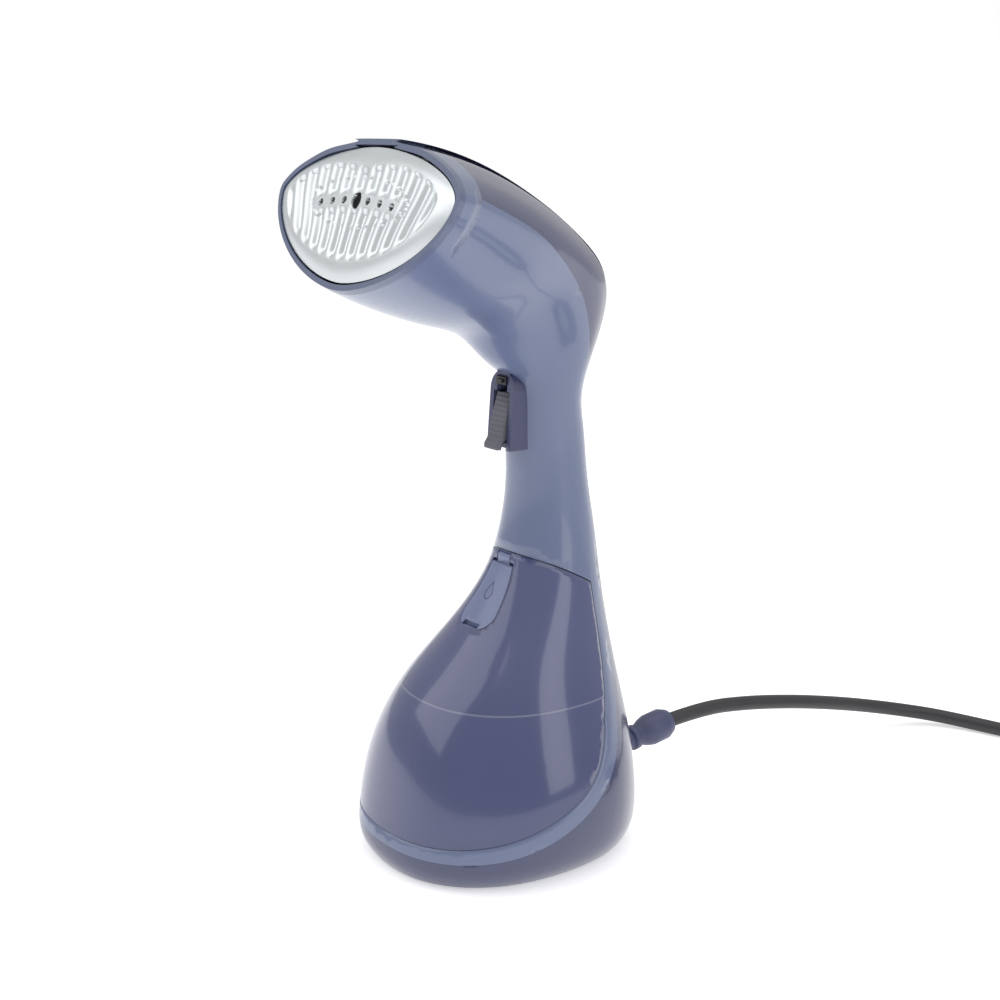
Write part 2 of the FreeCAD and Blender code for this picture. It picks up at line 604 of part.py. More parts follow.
def make_heater():
    back = -size("plate_back")
    deep = size("chamber_depth")
    rectangle_body("steam_chamber", "chamber_width", "chamber_height", "chamber_depth",
                   head_place(0, -CHAMBER_DROP, back - deep), corner=9.0)
    rectangle_body("chamber_cover", "chamber_width", "chamber_height", "cover_thick",
                   head_place(0, -CHAMBER_DROP, back - deep - size("cover_thick")), corner=9.0)
    spread, radius = size("element_spread") / 2, size("element_radius")
    cover_back = back - deep - size("cover_thick")
    legs = [primitive("Cylinder", f"element_leg_{i}", head_place(24, -CHAMBER_DROP + s * spread, cover_back - 2 - radius)
                      .multiply(Placement(Vector(0, 0, 0), Rotation(Vector(0, 1, 0), -90))),
                      Radius="Sizes.element_radius", Height="Sizes.chamber_width / 3")
            for i, s in enumerate((-1, 1))]
    bend = primitive("Torus", "element_bend", head_place(24 - size("chamber_width") / 3, -CHAMBER_DROP, cover_back - 2 - radius)
                     .multiply(Placement(Vector(0, 0, 0), Rotation(Vector(0, 0, 1), 90))),
                     Radius1="Sizes.element_spread / 2", Radius2="Sizes.element_radius", Angle3="180")
    pins = [primitive("Cylinder", f"element_pin_{i}", head_place(32, -CHAMBER_DROP + s * spread, cover_back - 2 - radius)
                      .multiply(Placement(Vector(0, 0, 0), Rotation(Vector(0, 1, 0), -90))),
                      Radius="Sizes.element_radius / 2.5", Height="8.5")
            for i, s in enumerate((-1, 1))]
    keep("heating_element", boolean("MultiFuse", "heating_element", bend, legs + pins))
    lugs, screws = [], []
    web_front = -size("collar_back") + size("web_wall")
    for i, (x, up) in enumerate(lug_spots()):
        lugs.append(primitive("Cylinder", f"lug_{i}", head_place(x, up, web_front), Radius="Sizes.lug_radius",
                              Height="3"))
        shank = primitive("Cylinder", f"plate_screw_{i}", head_place(x, up, web_front - size("web_wall") - 2),
                          Radius="Sizes.screw_radius", Height="Sizes.web_wall + 5")
        top = primitive("Cylinder", f"plate_screw_head_{i}", head_place(x, up, web_front + 3),
                        Radius="Sizes.screw_radius * 1.9", Height="1.6")
        screws.append(boolean("MultiFuse", f"plate_screw_whole_{i}", shank, [top]))
    chamber = nodes.pop("steam_chamber")
    ears = [Part.makeCylinder(size("lug_radius"), 3) for _ in lugs]
    solid = chamber.Shape.copy()
    for ear, (x, up) in zip(ears, lug_spots()):
        ear.Placement = head_place(x, up, web_front)
        bridge = Part.makeBox(2 * size("lug_radius"), 10, 3)
        bridge.Placement = head_place(x - size("lug_radius"), up - 10, web_front)
        bore = Part.makeCylinder(size("screw_radius"), 10)
        bore.Placement = head_place(x, up, web_front - 4)
        solid = solid.fuse(ear).fuse(bridge).cut(bore)
    chamber.Label = "steam_chamber_block"
    whole = doc.addObject("Part::Feature", "steam_chamber_cast")
    whole.Shape = solid.removeSplitter()
    keep("steam_chamber", whole)
    keep("plate_screws", group("plate_screws", screws))
    tall = size("thermostat_height")
    disc = primitive("Cylinder", "thermostat", head_place(-29, -CHAMBER_DROP, cover_back - tall),
                     Radius="Sizes.thermostat_radius", Height="Sizes.thermostat_height")
    keep("thermostat", disc)
    keep("thermal_fuse", primitive("Cylinder", "thermal_fuse", head_place(37, -CHAMBER_DROP - 7, cover_back - 2.5)
         .multiply(Placement(Vector(0, 0, 0), Rotation(Vector(1, 0, 0), -90))), Radius="2", Height="14"))
    return cover_back


# ---------------------------------------------------------------- base

def place_at(x, y, z, axis=Vector(0, 0, 1), angle=0):
    return Placement(Vector(x, y, z), Rotation(axis, angle))


def floor_outline(inset, height):
    """The base's outline at a height near the floor, drawn in by an inset."""
    rows = stations(inset)
    share = (height - FLOOR) / (rows[1][0].z - FLOOR)
    lower = rows[0][0] + (rows[1][0] - rows[0][0]) * share
    upper = rows[0][1] + (rows[1][1] - rows[0][1]) * share
    half = rows[0][2] + (rows[1][2] - rows[0][2]) * share
    lower.z = upper.z = height
    return section(lower, upper, half, 0.5, BODY_ROUNDNESS)


def oval_plate(inset, low, high, hole_inset=None):
    thick = Vector(0, 0, high - low)
    base = floor_outline(inset, FLOOR)
    base.translate(Vector(0, 0, low - FLOOR))
    plate = Part.Face(base).extrude(thick)
    if hole_inset:
        hole = floor_outline(hole_inset, FLOOR)
        hole.translate(Vector(0, 0, low - FLOOR - 1))
        plate = plate.cut(Part.Face(hole).extrude(thick * 10))
    return plate


def base_screw_spots():
    return [(s * 20, y) for s in (-1, 1) for y in spot(-24, 28)]


def make_base():
    top = FLOOR + size("plate_floor")
    plate = oval_plate(WALL + 0.2, FLOOR, top)
    foot_in, foot_out = WALL + 5, WALL + 5 + size("foot_width")
    foot = oval_plate(foot_in, 0, size("foot_height"), foot_out)
    plate = plate.cut(oval_plate(foot_in, 0, size("foot_height"), foot_out))
    screws = []
    for i, (x, y) in enumerate(base_screw_spots()):
        plate = plate.cut(Part.makeCylinder(size("screw_radius"), 10, Vector(x, y, -2)))
        plate = plate.cut(Part.makeCylinder(size("screw_radius") * 2, 1.4 + FLOOR, Vector(x, y, 0)))
        shank = primitive("Cylinder", f"base_screw_{i}", place_at(x, y, FLOOR + 1.4), Radius="Sizes.screw_radius",
                          Height="6")
        top_part = primitive("Cylinder", f"base_screw_head_{i}", place_at(x, y, FLOOR + 0.2),
                             Radius="Sizes.screw_radius * 1.9", Height="1.2")
        screws.append(boolean("MultiFuse", f"base_screw_whole_{i}", shank, [top_part]))
    shape_part("base_plate", plate)
    shape_part("foot_ring", foot)
    keep("base_screws", group("base_screws", screws))
    return top


def make_pump():
    """A solenoid pump lying across the base behind the tank's cradle."""
    y, z = spot(24, 28)
    z = max(z, size("coil_radius") + FLOOR + size("plate_floor") + 5)
    along = size("pump_length") / 2
    turn = Placement(Vector(0, 0, 0), Rotation(Vector(0, 1, 0), 90))
    body = primitive("Cylinder", "pump_tube", place_at(-along, y, z).multiply(turn), Radius="Sizes.pump_radius * 0.6",
                     Height="Sizes.pump_length")
    flanges = [primitive("Cylinder", f"pump_flange_{i}", place_at(x, y, z).multiply(turn), Radius="Sizes.pump_radius",
                         Height="4") for i, x in enumerate((-along + 4, along - 8))]
    bore = primitive("Cylinder", "pump_bore", place_at(-along + 6, y, z).multiply(turn),
                     Radius="Sizes.plunger_radius + 0.05", Height="Sizes.pump_length - 12")
    keep("pump_body", boolean("Cut", "pump_body", boolean("MultiFuse", "pump_shell", body, flanges), bore))
    wound = primitive("Cylinder", "coil_wound", place_at(-size("coil_length") / 2, y, z).multiply(turn),
                      Radius="Sizes.coil_radius", Height="Sizes.coil_length")
    core = primitive("Cylinder", "coil_core", place_at(-size("coil_length"), y, z).multiply(turn),
                     Radius="Sizes.pump_radius * 0.6 + 0.05", Height="Sizes.coil_length * 2")
    keep("pump_coil", boolean("Cut", "pump_coil", wound, core))
    keep("pump_plunger", primitive("Cylinder", "pump_plunger", place_at(-8, y, z).multiply(turn),
                                   Radius="Sizes.plunger_radius", Height="18"))
    mounts = []
    for i, x in enumerate((-along - 3, along - 0.1 + 0.1)):
        ring = primitive("Cylinder", f"mount_ring_{i}", place_at(x, y, z).multiply(turn), Radius="Sizes.pump_radius * 0.9",
                         Height="3")
        mounts.append(ring)
    keep("pump_mounts", group("pump_mounts", mounts))
    return y, z


def make_board():
    """The control board stands upright behind the cradle, with its triac and a relay."""
    y, z = spot(40.0, 61)
    rectangle_body("control_board", "board_width", "board_height", "board_thick",
                   place_at(0, y, z, Vector(1, 0, 0), 90))
    parts = [primitive("Box", "relay", place_at(-9, y - size("board_thick") - 5.2, z - 12), Length="15", Width="5.2",
                       Height="10"),
             primitive("Box", "triac", place_at(-9, y - size("board_thick") - 3.4, z + 4), Length="10", Width="3.4",
                       Height="9")]
    keep("board_parts", group("board_parts", parts))


def make_hoses(rear_y, seat_start, pump_y, pump_z, cover_back):
    """Water from the tank's seat to the pump, and from the pump up the handle to the chamber."""
    valve_z = size("valve_height")
    elbow_y = rear_y + seat_start + size("seat_length") + 0.05
    side = size("pump_length") / 2
    inlet = [Vector(0, elbow_y, valve_z), Vector(0, elbow_y + 4.0, valve_z), Vector(2.5, elbow_y + 5, valve_z - 7),
             Vector(15.5, *spot(35.5, 80)), Vector(22, *spot(34.5, 66)), Vector(side + 8.5, pump_y + 1.5, pump_z + 15),
             Vector(side + 8.5, pump_y, pump_z - 2)]
    round_tube(inlet, size("inlet_radius"), "inlet_hose")
    neck_y = handle_front + 25
    chamber_in = head_place(0, -CHAMBER_DROP, cover_back).Base
    steam = [Vector(-side - 8.5, pump_y, pump_z - 2), Vector(-side - 8.5, pump_y + 1.5, pump_z + 16),
             Vector(-22, *spot(35.5, 70)), Vector(-8, *spot(38.2, 96)), Vector(-4.5, *spot(36.5, 116)),
             Vector(0, neck_y, 138), Vector(0, neck_y - 0.3, 163), Vector(0, neck_y, 188), Vector(0, *spot(26, 213)),
             Vector(0, *spot(4, 233)), chamber_in]
    round_tube(steam, size("hose_radius"), "steam_hose")


def make_pickup(rear_y):
    """The tank's suction tube, from the valve down to a strainer weight on the tank's floor."""
    start = Vector(0, rear_y - 10.5, size("valve_height"))
    route = [start, start + Vector(0, -6, -1.5), start + Vector(0, -9, -9), Vector(0, *spot(3, 70)),
             Vector(0, *spot(-6, 52)), Vector(0, *spot(-16, 41))]
    round_tube(route, size("tube_radius"), "pickup_tube", hole=size("tube_radius") - 0.8)
    last, before = route[-1], route[-2]
    way = (last - before).normalize()
    weight = Part.makeCylinder(size("tube_radius") * 2.2, 9, last, way)
    weight = weight.makeFillet(1.2, [e for e in weight.Edges if e.Curve.TypeId == "Part::GeomCircle"])
    shape_part("strainer", weight)


def make_catches():
    """Two sprung catches on the cradle, which hold the tank until it is pulled."""
    y, z = spot(29.8, 101)
    solids = []
    for sign in (-1, 1):
        x = sign * 14.0
        solids.append(block(x - 2.5, x + 2.5, y + WALL + 0.3, y + WALL + 1.9, z - 6, z + 6))
    shape_part("tank_catches", Part.makeCompound(solids))


def make_clamp():
    """The cord clamp inside the base, with its two screws."""
    y, z = spot(40, 20.5)
    x_half, long = 11.0, 7.0
    bar = block(-x_half, x_half, y - long / 2, y + long / 2, z + size("cord_diameter") / 2 - 1.6, z + size("cord_diameter") / 2 + 1.8)
    screws = []
    for i, x in enumerate((-7.5, 7.5)):
        bar = bar.cut(Part.makeCylinder(size("screw_radius"), 20, Vector(x, y, z - 6)))
        shank = primitive("Cylinder", f"clamp_screw_{i}", place_at(x, y, z - 4), Radius="Sizes.screw_radius",
                          Height="Sizes.cord_diameter / 2 + 1.8 + 4")
        cap = primitive("Cylinder", f"clamp_screw_head_{i}", place_at(x, y, z + size("cord_diameter") / 2 + 1.8),
                        Radius="Sizes.screw_radius * 1.9", Height="1.6")
        screws.append(boolean("MultiFuse", f"clamp_screw_whole_{i}", shank, [cap]))
    shape_part("cord_clamp", bar)
    keep("clamp_screws", group("clamp_screws", screws))


def screw_spots():
    """Where the two long screws cross the handle: across and up."""
    return [(-5.5, spot(0, 152)[1]), (5.5, spot(0, 132)[1])]


def screw_bosses():
    """The front housing's posts behind its front wall, and the bores in them."""
    posts, bores = [], []
    for x, z in screw_spots():
        front = front_at(z) + 0.2
        posts.append(Part.makeCylinder(size("boss_radius"), SCREW_SEAT - front, Vector(x, front, z), Vector(0, 1, 0)))
        bores.append(Part.makeCylinder(size("screw_radius"), 10, Vector(x, SCREW_SEAT - 9, z), Vector(0, 1, 0)))
    return posts, bores


SCREW_SEAT = handle_front + 23.5


def make_housing_screws():
    """Two long screws in the handle, with their heads towards the rear cover."""
    screws = []
    for i, (x, z) in enumerate(screw_spots()):
        shank = primitive("Cylinder", f"housing_screw_{i}", place_at(x, SCREW_SEAT, z, Vector(1, 0, 0), 90),
                          Radius="Sizes.screw_radius", Height="9")
        cap = primitive("Cylinder", f"housing_screw_head_{i}", place_at(x, SCREW_SEAT + 1.8, z, Vector(1, 0, 0), 90),
                        Radius="Sizes.screw_radius * 1.9", Height="1.8")
        screws.append(boolean("MultiFuse", f"housing_screw_whole_{i}", shank, [cap]))
    keep("housing_screws", group("housing_screws", screws))


# ---------------------------------------------------------------- strain relief, cord and plug

RELIEF_RISE = 6.4
relief_start = Vector(0, *spot(50, 22.6))
relief_way = Vector(0, 42, RELIEF_RISE).normalize()


def make_relief():
    """A moulded sleeve: a flanged root inside the base, three ribs and a round end."""
    root, end, length = size("relief_root"), size("relief_end"), size("relief_length")
    bore = size("cord_diameter") / 2
    rib, groove = 3.4, 2.0
    profile = [(bore, -6), (root + 2.6, -6), (root + 2.6, -3.2), (root, -3.2)]
    x = length - 17.5 - 3 * (rib + groove)
    for i in range(3):
        profile += [(root - 1.0, x), (root, x + 0.6), (root, x + rib), (root - 1.0, x + rib + 0.4)]
        x += rib + groove
    profile += [(root - 0.6, x), (end - 0.8, x + 3), (end, x + 6), (end, length - 4), (end - 1.4, length - 0.6),
                (end - 2.4, length), (bore, length)]
    points = [Vector(r, 0, along) for r, along in profile]
    face = Part.Face(Part.makePolygon(points + points[:1]))
    relief = face.revolve(Vector(0, 0, 0), Vector(0, 0, 1), 360)
    turn = Rotation(Vector(0, 0, 1), relief_way)
    relief.Placement = Placement(relief_start, turn)
    shape_part("strain_relief", relief)
    hole = Part.makeCylinder(root, 12)
    hole.Placement = Placement(relief_start - relief_way * 3.2, turn)
    socket = Part.makeCylinder(root + 2.6, 2.8 + 0.4)
    socket.Placement = Placement(relief_start - relief_way * 6.2, turn)
    return hole, socket


CORD_Z = 3.25
LEAD = [(0, 92.0, 29.0), (1.0, 112, 31.0), (4.0, 136, 29.2), (6.2, 162, 24.8), (7.2, 188, 18.8), (8.6, 211, 12.8),
        (12.6, 229, 8.2), (22, 244.5, 5.0), (37, 253.4, 3.7), (55.5, 260.4, CORD_Z), (76, 268.6, CORD_Z),
        (96.5, 277.6, 3.6), (116.5, 286.0, 4.25)]
COIL_TURNS = 5.983  # from where the lead arrives to where the tail leaves
COIL_LAYERS = 2
# from where the tail leaves the coil: onward, outward and up; it curls back over the coil to the plug
TAIL = [(0, 0, -1.75), (13, 0, 0.25), (25.0, -5.0, 0.9), (34.2, -14.2, 1.7), (39.2, -26.2, 2.7),
        (39.2, -39.2, 3.9), (34.2, -51.2, 5.0), (25.0, -60.4, 5.55)]


def coil_centre():
    last, before = Vector(*LEAD[-1]), Vector(*LEAD[-2])
    way = Vector(last.x - before.x, last.y - before.y, 0).normalize()
    right = Vector(way.y, -way.x, 0)
    centre = last + right * (size("coil_mean_radius") + size("cord_diameter"))
    return Vector(centre.x, centre.y, 0), way


def make_cord():
    thick = size("cord_diameter")
    start = relief_start + relief_way * size("relief_length")
    lead = [start] + [Vector(*p) for p in LEAD[1:]]
    round_tube(lead, thick / 2, "cord_lead")
    centre, way = coil_centre()
    ring_low, layers = size("tie_thick") + 0.1, COIL_LAYERS
    ring_in = size("coil_mean_radius") - 1.5 * thick
    ring_out = size("coil_mean_radius") + 1.5 * thick
    ring = Part.makeCylinder(ring_out, layers * thick, Vector(centre.x, centre.y, ring_low))
    ring = ring.cut(Part.makeCylinder(ring_in, 99, Vector(centre.x, centre.y, -9)))
    ring = ring.makeFillet(thick * 0.45, [e for e in ring.Edges if e.Curve.TypeId == "Part::GeomCircle"])
    shape_part("cord_coil", ring)
    # the tie is a band round the coil's section, on the side away from the plug
    band, wide = size("tie_thick"), size("tie_width")
    tie = Part.makeBox(ring_out - ring_in + 2 * band + 0.2, wide, layers * thick + 2 * band + 0.2,
                       Vector(ring_in - band - 0.1, -wide / 2, 0))
    tie = tie.cut(Part.makeBox(ring_out - ring_in + 0.2, wide + 2, layers * thick + 0.2,
                               Vector(ring_in - 0.1, -wide / 2 - 1, band)))
    tie.Placement = Placement(centre, Rotation(Vector(0, 0, 1), TIE_TURN))
    shape_part("cord_tie", tie)
    leave = math.atan2(-way.x, way.y) + math.pi - 2 * math.pi * COIL_TURNS
    outward = Vector(math.cos(leave), math.sin(leave), 0)
    onward = Vector(math.sin(leave), -math.cos(leave), 0)
    first = centre + outward * (size("coil_mean_radius") + thick) + Vector(0, 0, ring_low + (layers + 0.5) * thick)
    tail = [first + onward * a + outward * b + Vector(0, 0, c) for a, b, c in TAIL]
    round_tube(tail, thick / 2, "cord_tail")
    return tail


TIE_TURN = -135


def make_plug(tail):
    """A moulded plug with three round pins, lying flat on the coil."""
    end, before = tail[-1], tail[-2]
    way = Vector(end.x - before.x, end.y - before.y, 0).normalize()
    side = Vector(-way.y, way.x, 0)
    long, wide, thick = size("plug_length"), size("plug_width"), size("plug_thick")
    centre_z = end.z
    neck = Part.makeCone(size("cord_diameter") / 2 + 1.6, 6.8, 20, Vector(end.x, end.y, centre_z), way)
    start = Vector(end.x, end.y, centre_z) + way * 18
    outline = [(0, -8), (10, -wide / 2), (long, -wide / 2), (long, wide / 2), (10, wide / 2), (0, 8)]
    points = [Vector(start.x, start.y, centre_z - thick / 2) + way * a + side * b for a, b in outline]
    body = Part.Face(Part.makePolygon(points + points[:1])).extrude(Vector(0, 0, thick))
    upright = [e for e in body.Edges if abs(e.Vertexes[0].Point.z - e.Vertexes[-1].Point.z) > 1]
    body = body.makeFillet(3.0, upright)
    flat = [e for e in body.Edges if e.BoundBox.ZLength < 0.01]
    body = body.makeFillet(2.0, flat)
    socket = Part.makeCylinder(size("cord_diameter") / 2, 9, end, way)
    shape_part("plug_body", body.fuse(neck).cut(socket).removeSplitter())
    face = Vector(start.x, start.y, centre_z) + way * (long - 4)
    pins = []
    for i, (across, up) in enumerate(((-9.5, -1.5), (9.5, -1.5), (0, 1.5))):
        root = face + side * across + Vector(0, 0, up)
        place = Placement(root, Rotation(Vector(0, 0, 1), way))
        pins.append(primitive("Cylinder", f"plug_pin_{i}", place, Radius="Sizes.plug_pin_radius",
                              Height="Sizes.pin_length + 4"))
    holes = nodes["plug_body"].Shape
    for pin in pins:
        drill = Part.makeCylinder(size("plug_pin_radius"), size("pin_length") + 4)
        drill.Placement = pin.Placement
        holes = holes.cut(drill)
    nodes["plug_body"].Shape = holes
    keep("plug_pins", group("plug_pins", pins))


# ---------------------------------------------------------------- the whole steamer

def main():
    housing, cover, collar, bezel = make_shells()
    frame_seat = make_trigger_parts()
    make_soleplate()
    cover_back = make_heater()
    rear_y = make_tank()
    seat_start = make_valve(rear_y)
    make_base()
    pump_y, pump_z = make_pump()
    hole, socket = make_relief()
    valve_z = size("valve_height")
    seat_radius = size("valve_radius") + size("valve_wall")
    seat_hole = Part.makeCylinder(seat_radius, 20, Vector(0, rear_y, valve_z), Vector(0, 1, 0))
    case_hole = Part.makeCylinder(seat_radius + 0.3, 3.4, Vector(0, rear_y - 3, valve_z), Vector(0, 1, 0))
    stem_window = block(-2.6, 2.6, 0, handle_front + 11, size("frame_bottom") + 9, size("frame_bottom") + 16)
    posts, bores = screw_bosses()
    for post, bore in zip(posts, bores):
        housing = housing.fuse(post.common(inner)).cut(bore)
    housing = housing.cut(frame_seat).cut(stem_window).cut(seat_hole).cut(case_hole)
    shape_part("front_housing", housing)
    shape_part("rear_cover", cover.cut(hole).cut(socket))
    shape_part("head_collar", collar)
    shape_part("bezel", bezel)
    switch_y = trigger_y + 10.6
    case = block(-3.2, 3.2, switch_y, switch_y + 9, size("frame_bottom") + 4, size("frame_bottom") + 24)
    shape_part("trigger_switch", case)
    make_board()
    make_hoses(rear_y, seat_start, pump_y, pump_z, cover_back)
    make_pickup(rear_y)
    make_catches()
    make_clamp()
    make_housing_screws()
    tail = make_cord()
    make_plug(tail)
    finish()


def finish():
    doc.recompute()
    for item in doc.Objects:
        if "Invalid" in item.State or "Error" in item.State:
            raise RuntimeError(f"{item.Label} did not build: {item.State}")
    os.makedirs("parts", exist_ok=True)
    for label, item in nodes.items():
        shape = item.Shape
        if shape.isNull() or not shape.isValid() or not shape.Solids:
            raise RuntimeError(f"{label} is not a sound solid")
        shape.exportStep(f"parts/{label}.step")
        box = shape.BoundBox
        print(f"{label:18} solids {len(shape.Solids)} volume {shape.Volume:9.0f}",
              f"x {box.XMin:.1f} {box.XMax:.1f} y {box.YMin:.1f} {box.YMax:.1f} z {box.ZMin:.1f} {box.ZMax:.1f}")


main()
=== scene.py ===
import json
import math

import bmesh
import bpy
from mathutils import Matrix, Vector


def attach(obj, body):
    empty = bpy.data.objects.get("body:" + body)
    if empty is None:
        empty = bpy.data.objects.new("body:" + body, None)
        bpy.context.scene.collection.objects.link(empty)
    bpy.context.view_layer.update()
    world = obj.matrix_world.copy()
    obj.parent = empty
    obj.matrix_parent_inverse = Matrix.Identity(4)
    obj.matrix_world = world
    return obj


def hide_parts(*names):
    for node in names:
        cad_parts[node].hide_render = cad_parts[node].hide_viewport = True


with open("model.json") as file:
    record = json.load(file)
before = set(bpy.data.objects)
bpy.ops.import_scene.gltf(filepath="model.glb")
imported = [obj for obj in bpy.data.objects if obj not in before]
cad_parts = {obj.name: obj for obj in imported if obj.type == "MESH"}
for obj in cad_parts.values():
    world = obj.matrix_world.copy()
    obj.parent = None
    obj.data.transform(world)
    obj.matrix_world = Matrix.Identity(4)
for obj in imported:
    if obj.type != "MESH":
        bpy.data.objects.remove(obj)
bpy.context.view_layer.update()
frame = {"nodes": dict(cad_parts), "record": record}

bpy.context.scene.view_settings.view_transform = "Standard"
bodyOfNode = {node: body for body, nodes in frame["record"]["behaviour"]["bodies"].items() for node in nodes}
mm = 0.001


# one socket, with the operators that shader maths needs
class Reading:
    def __init__(self, finish, socket):
        self.finish, self.socket = finish, socket

    def __add__(self, other):
        return self.finish.maths("ADD", self, other)

    def __radd__(self, other):
        return self.finish.maths("ADD", other, self)

    def __sub__(self, other):
        return self.finish.maths("SUBTRACT", self, other)

    def __rsub__(self, other):
        return self.finish.maths("SUBTRACT", other, self)

    def __mul__(self, other):
        return self.finish.maths("MULTIPLY", self, other)

    def __rmul__(self, other):
        return self.finish.maths("MULTIPLY", other, self)

    def __truediv__(self, other):
        return self.finish.maths("DIVIDE", self, other)

    def __rtruediv__(self, other):
        return self.finish.maths("DIVIDE", other, self)

    def __neg__(self):
        return self.finish.maths("MULTIPLY", self, -1.0)

    def __abs__(self):
        return self.finish.maths("ABSOLUTE", self)

    def __pow__(self, other):
        return self.finish.maths("POWER", self, other)

    def lesser(self, other):
        return self.finish.maths("MINIMUM", self, other)

    def greater(self, other):
        return self.finish.maths("MAXIMUM", self, other)

    def below(self, edge, softness):
        # 1 under the edge and 0 over it, with a soft step between
        step = self.finish.node("ShaderNodeMapRange", {"interpolation_type": "SMOOTHSTEP"},
                                {"Value": self, "From Min": edge - softness, "From Max": edge + softness,
                                 "To Min": 1.0, "To Max": 0.0})
        return self.finish.read(step, "Result")


# a material under construction: its nodes are made and wired by one method
class Finish:
    def __init__(self, name, colour, roughness, metallic=0.0, coat=0.0, **plain):
        self.material = bpy.data.materials.new(name)
        self.material.use_nodes = True
        self.tree = self.material.node_tree
        self.shader = self.tree.nodes["Principled BSDF"]
        self.colour = tuple(colour)
        self.shader.inputs["Base Color"].default_value = (*colour, 1.0)
        self.shader.inputs["Roughness"].default_value = roughness
        self.shader.inputs["Metallic"].default_value = metallic
        self.shader.inputs["Coat Weight"].default_value = coat
        for socket, amount in plain.items():
            self.shader.inputs[socket.replace("_", " ")].default_value = amount

    def node(self, kind, settings=None, inputs=None):
        made = self.tree.nodes.new(kind)
        for key, setting in (settings or {}).items():
            if key == "stops":
                while len(made.color_ramp.elements) < len(setting):
                    made.color_ramp.elements.new(0.5)
                for element, (place, shade) in zip(made.color_ramp.elements, setting):
                    element.position, element.color = place, shade
            else:
                setattr(made, key, setting)
        for key, amount in (inputs or {}).items():
            socket = made.inputs[key]
            if isinstance(amount, Reading):
                self.tree.links.new(amount.socket, socket)
            else:
                socket.default_value = amount
        return made

    def read(self, node, output):
        return Reading(self, node.outputs[output])

    def maths(self, operation, *amounts):
        made = self.node("ShaderNodeMath", {"operation": operation}, dict(enumerate(amounts)))
        return self.read(made, "Value")

    def place(self):
        # where a point is on the object, in millimetres
        coordinate = self.node("ShaderNodeTexCoord")
        apart = self.node("ShaderNodeSeparateXYZ", None, {"Vector": self.read(coordinate, "Object")})
        return [self.read(apart, axis) * 1000.0 for axis in "XYZ"]

    def grain(self, scale, detail=3.0, stretch=(1, 1, 1)):
        coordinate = self.node("ShaderNodeTexCoord")
        mapping = self.node("ShaderNodeMapping", None,
                            {"Vector": self.read(coordinate, "Object"), "Scale": stretch})
        noise = self.node("ShaderNodeTexNoise", None,
                          {"Vector": self.read(mapping, "Vector"), "Scale": scale, "Detail": detail})
        return self.read(noise, "Fac")

    def cells(self, scale):
        coordinate = self.node("ShaderNodeTexCoord")
        cells = self.node("ShaderNodeTexVoronoi", None,
                          {"Vector": self.read(coordinate, "Object"), "Scale": scale})
        return self.read(cells, "Distance")

    def feed(self, socket, reading):
        self.tree.links.new(reading.socket, self.shader.inputs[socket])

    def blended(self, mask, first, second):
        mix = self.node("ShaderNodeMix", {"data_type": "RGBA"})
        for index, shade in ((6, first), (7, second)):
            if isinstance(shade, Reading):
                self.tree.links.new(shade.socket, mix.inputs[index])
            else:
                mix.inputs[index].default_value = (*shade, 1.0)
        self.tree.links.new(mask.socket, mix.inputs[0])
        return Reading(self, mix.outputs[2])

    def bump(self, height, distance, strength=1.0):
        made = self.node("ShaderNodeBump", None,
                         {"Height": height, "Distance": distance, "Strength": strength})
        self.feed("Normal", self.read(made, "Normal"))

    def varied(self, amount, roughness, spread, scale=35.0):
        # faint drift of colour and gloss, as on every moulded or cast face
        drift = self.grain(scale, 4.0)
        light = tuple(min(1.0, c * (1 + amount)) for c in self.colour)
        dark = tuple(c * (1 - amount) for c in self.colour)
        self.feed("Base Color", self.blended(drift, dark, light))
        self.feed("Roughness", (drift - 0.5) * spread + roughness)
        return drift


def linear(red, green, blue):
    return tuple((c / 255 / 12.92) if c <= 10 else ((c / 255 + 0.055) / 1.055) ** 2.4
                 for c in (red, green, blue))


# ---- finishes

def moulded(name, colour, roughness, coat=0.0, grainScale=900.0, grainDepth=0.01, amount=0.03, spread=0.05):
    finish = Finish(name, colour, roughness, coat=coat, Coat_Roughness=0.06)
    finish.varied(amount, roughness, spread)
    finish.bump(finish.grain(grainScale, 2.0), grainDepth * mm)
    return finish.material


# gloss and satin plastics: colour, roughness and how their surface is grained
plastics = {
    "periwinkle": {"name": "periwinkleGloss", "colour": linear(98, 109, 140), "roughness": 0.26, "coat": 0.45,
                   "grainScale": 260.0, "grainDepth": 0.006},
    "violet": {"name": "violetGloss", "colour": linear(62, 66, 98), "roughness": 0.26, "coat": 0.5,
               "grainScale": 260.0, "grainDepth": 0.006},
    "violetSatin": {"name": "violetSatin", "colour": linear(64, 67, 98), "roughness": 0.42,
                    "grainScale": 1500.0, "grainDepth": 0.02},
    "bezel": {"name": "bezelSatin", "colour": linear(86, 96, 124), "roughness": 0.34, "coat": 0.2,
              "grainScale": 1200.0, "grainDepth": 0.01},
    "plug": {"name": "plugBlack", "colour": linear(38, 38, 41), "roughness": 0.4,
             "grainScale": 1700.0, "grainDepth": 0.04},
    "black": {"name": "blackPlastic", "colour": linear(24, 24, 27), "roughness": 0.45,
              "grainScale": 1500.0, "grainDepth": 0.03},
    "white": {"name": "whitePlastic", "colour": linear(214, 214, 210), "roughness": 0.4,
              "grainScale": 900.0, "grainDepth": 0.02},
}


def triggerGrey():
    finish = Finish("triggerGrey", linear(92, 92, 102), 0.55)
    finish.varied(0.06, 0.55, 0.12, 120.0)
    x, y, z = finish.place()
    ribs = finish.maths("SINE", z * 3.3)
    finish.bump(ribs * 0.35 + finish.cells(1400.0) * 0.5, 0.16 * mm)
    return finish.material


